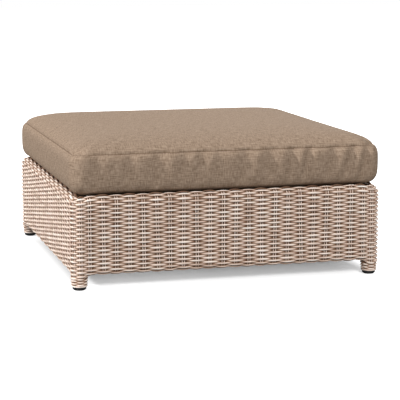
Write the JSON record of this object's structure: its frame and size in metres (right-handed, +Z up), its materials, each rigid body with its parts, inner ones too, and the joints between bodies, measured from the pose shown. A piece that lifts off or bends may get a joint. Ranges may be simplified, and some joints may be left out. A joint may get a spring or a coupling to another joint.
{
  "type": "outdoor ottoman footstool",
  "caption": "Low square outdoor ottoman: a round-strand wicker base on a tube frame with short wrapped feet, a webbing deck and a thick loose boxed cushion with a rear zip.",
  "frame": {"origin": "on the floor under the centre of the square base", "axes": "+Z up, the front faces -Y, +X to the right seen from the front"},
  "size_m": [0.9, 0.9, 0.42],
  "materials": {
    "cushion_fabric": "matte",
    "cushion_fibre": "matte",
    "cushion_foam": "matte",
    "zip_tape": "matte",
    "zip_metal": "satin",
    "resin_wicker": "satin",
    "frame_tube": "satin",
    "glide_plastic": "satin",
    "webbing": "matte"
  },
  "bodies": {
    "base": {"bottom_rail_back": "frame_tube", "bottom_rail_front": "frame_tube", "bottom_rail_left": "frame_tube", "bottom_rail_right": "frame_tube", "deck_brace": "frame_tube", "glide_back_left": "glide_plastic", "glide_back_right": "glide_plastic", "glide_front_left": "glide_plastic", "glide_front_right": "glide_plastic", "leg_back_left": "frame_tube", "leg_back_right": "frame_tube", "leg_front_left": "frame_tube", "leg_front_right": "frame_tube", "seat_rail_back": "frame_tube", "seat_rail_front": "frame_tube", "seat_rail_left": "frame_tube", "seat_rail_right": "frame_tube", "strap_across_1": "webbing", "strap_across_2": "webbing", "strap_across_3": "webbing", "strap_across_4": "webbing", "strap_along_1": "webbing", "strap_along_2": "webbing", "strap_along_3": "webbing", "strap_along_4": "webbing", "top_rail_back": "frame_tube", "top_rail_front": "frame_tube", "top_rail_left": "frame_tube", "top_rail_right": "frame_tube", "upright_back": "frame_tube", "upright_front": "frame_tube", "upright_left": "frame_tube", "upright_right": "frame_tube", "wicker_border_back": "resin_wicker", "wicker_border_front": "resin_wicker", "wicker_border_left": "resin_wicker", "wicker_border_right": "resin_wicker", "wicker_corner_back_left": "resin_wicker", "wicker_corner_back_right": "resin_wicker", "wicker_corner_front_left": "resin_wicker", "wicker_corner_front_right": "resin_wicker", "wicker_panel_back": "resin_wicker", "wicker_panel_front": "resin_wicker", "wicker_panel_left": "resin_wicker", "wicker_panel_right": "resin_wicker"},
    "cushion": {"cushion_cover": "cushion_fabric", "cushion_fibre_wrap": "cushion_fibre", "cushion_foam_core": "cushion_foam", "zip_tape": "zip_tape"},
    "zip_slider": {"zip_slider": "zip_metal"},
    "zip_pull": {"zip_pull": "zip_metal"}
  },
  "joints": [
    {"name": "cushion_lift", "type": "slide", "parent": "base", "child": "cushion", "axis": [0, 0, 1], "range_m": [0, 0.25]},
    {"name": "zip_run", "type": "slide", "parent": "cushion", "child": "zip_slider", "axis": [-1, 0, 0], "range_m": [0, 0.57]},
    {"name": "pull_swing", "type": "hinge", "parent": "zip_slider", "child": "zip_pull", "pos_m": [0.2877, 0.4487, 0.31705], "axis": [0, 0, -1], "range_deg": [0, 180]}
  ]
}
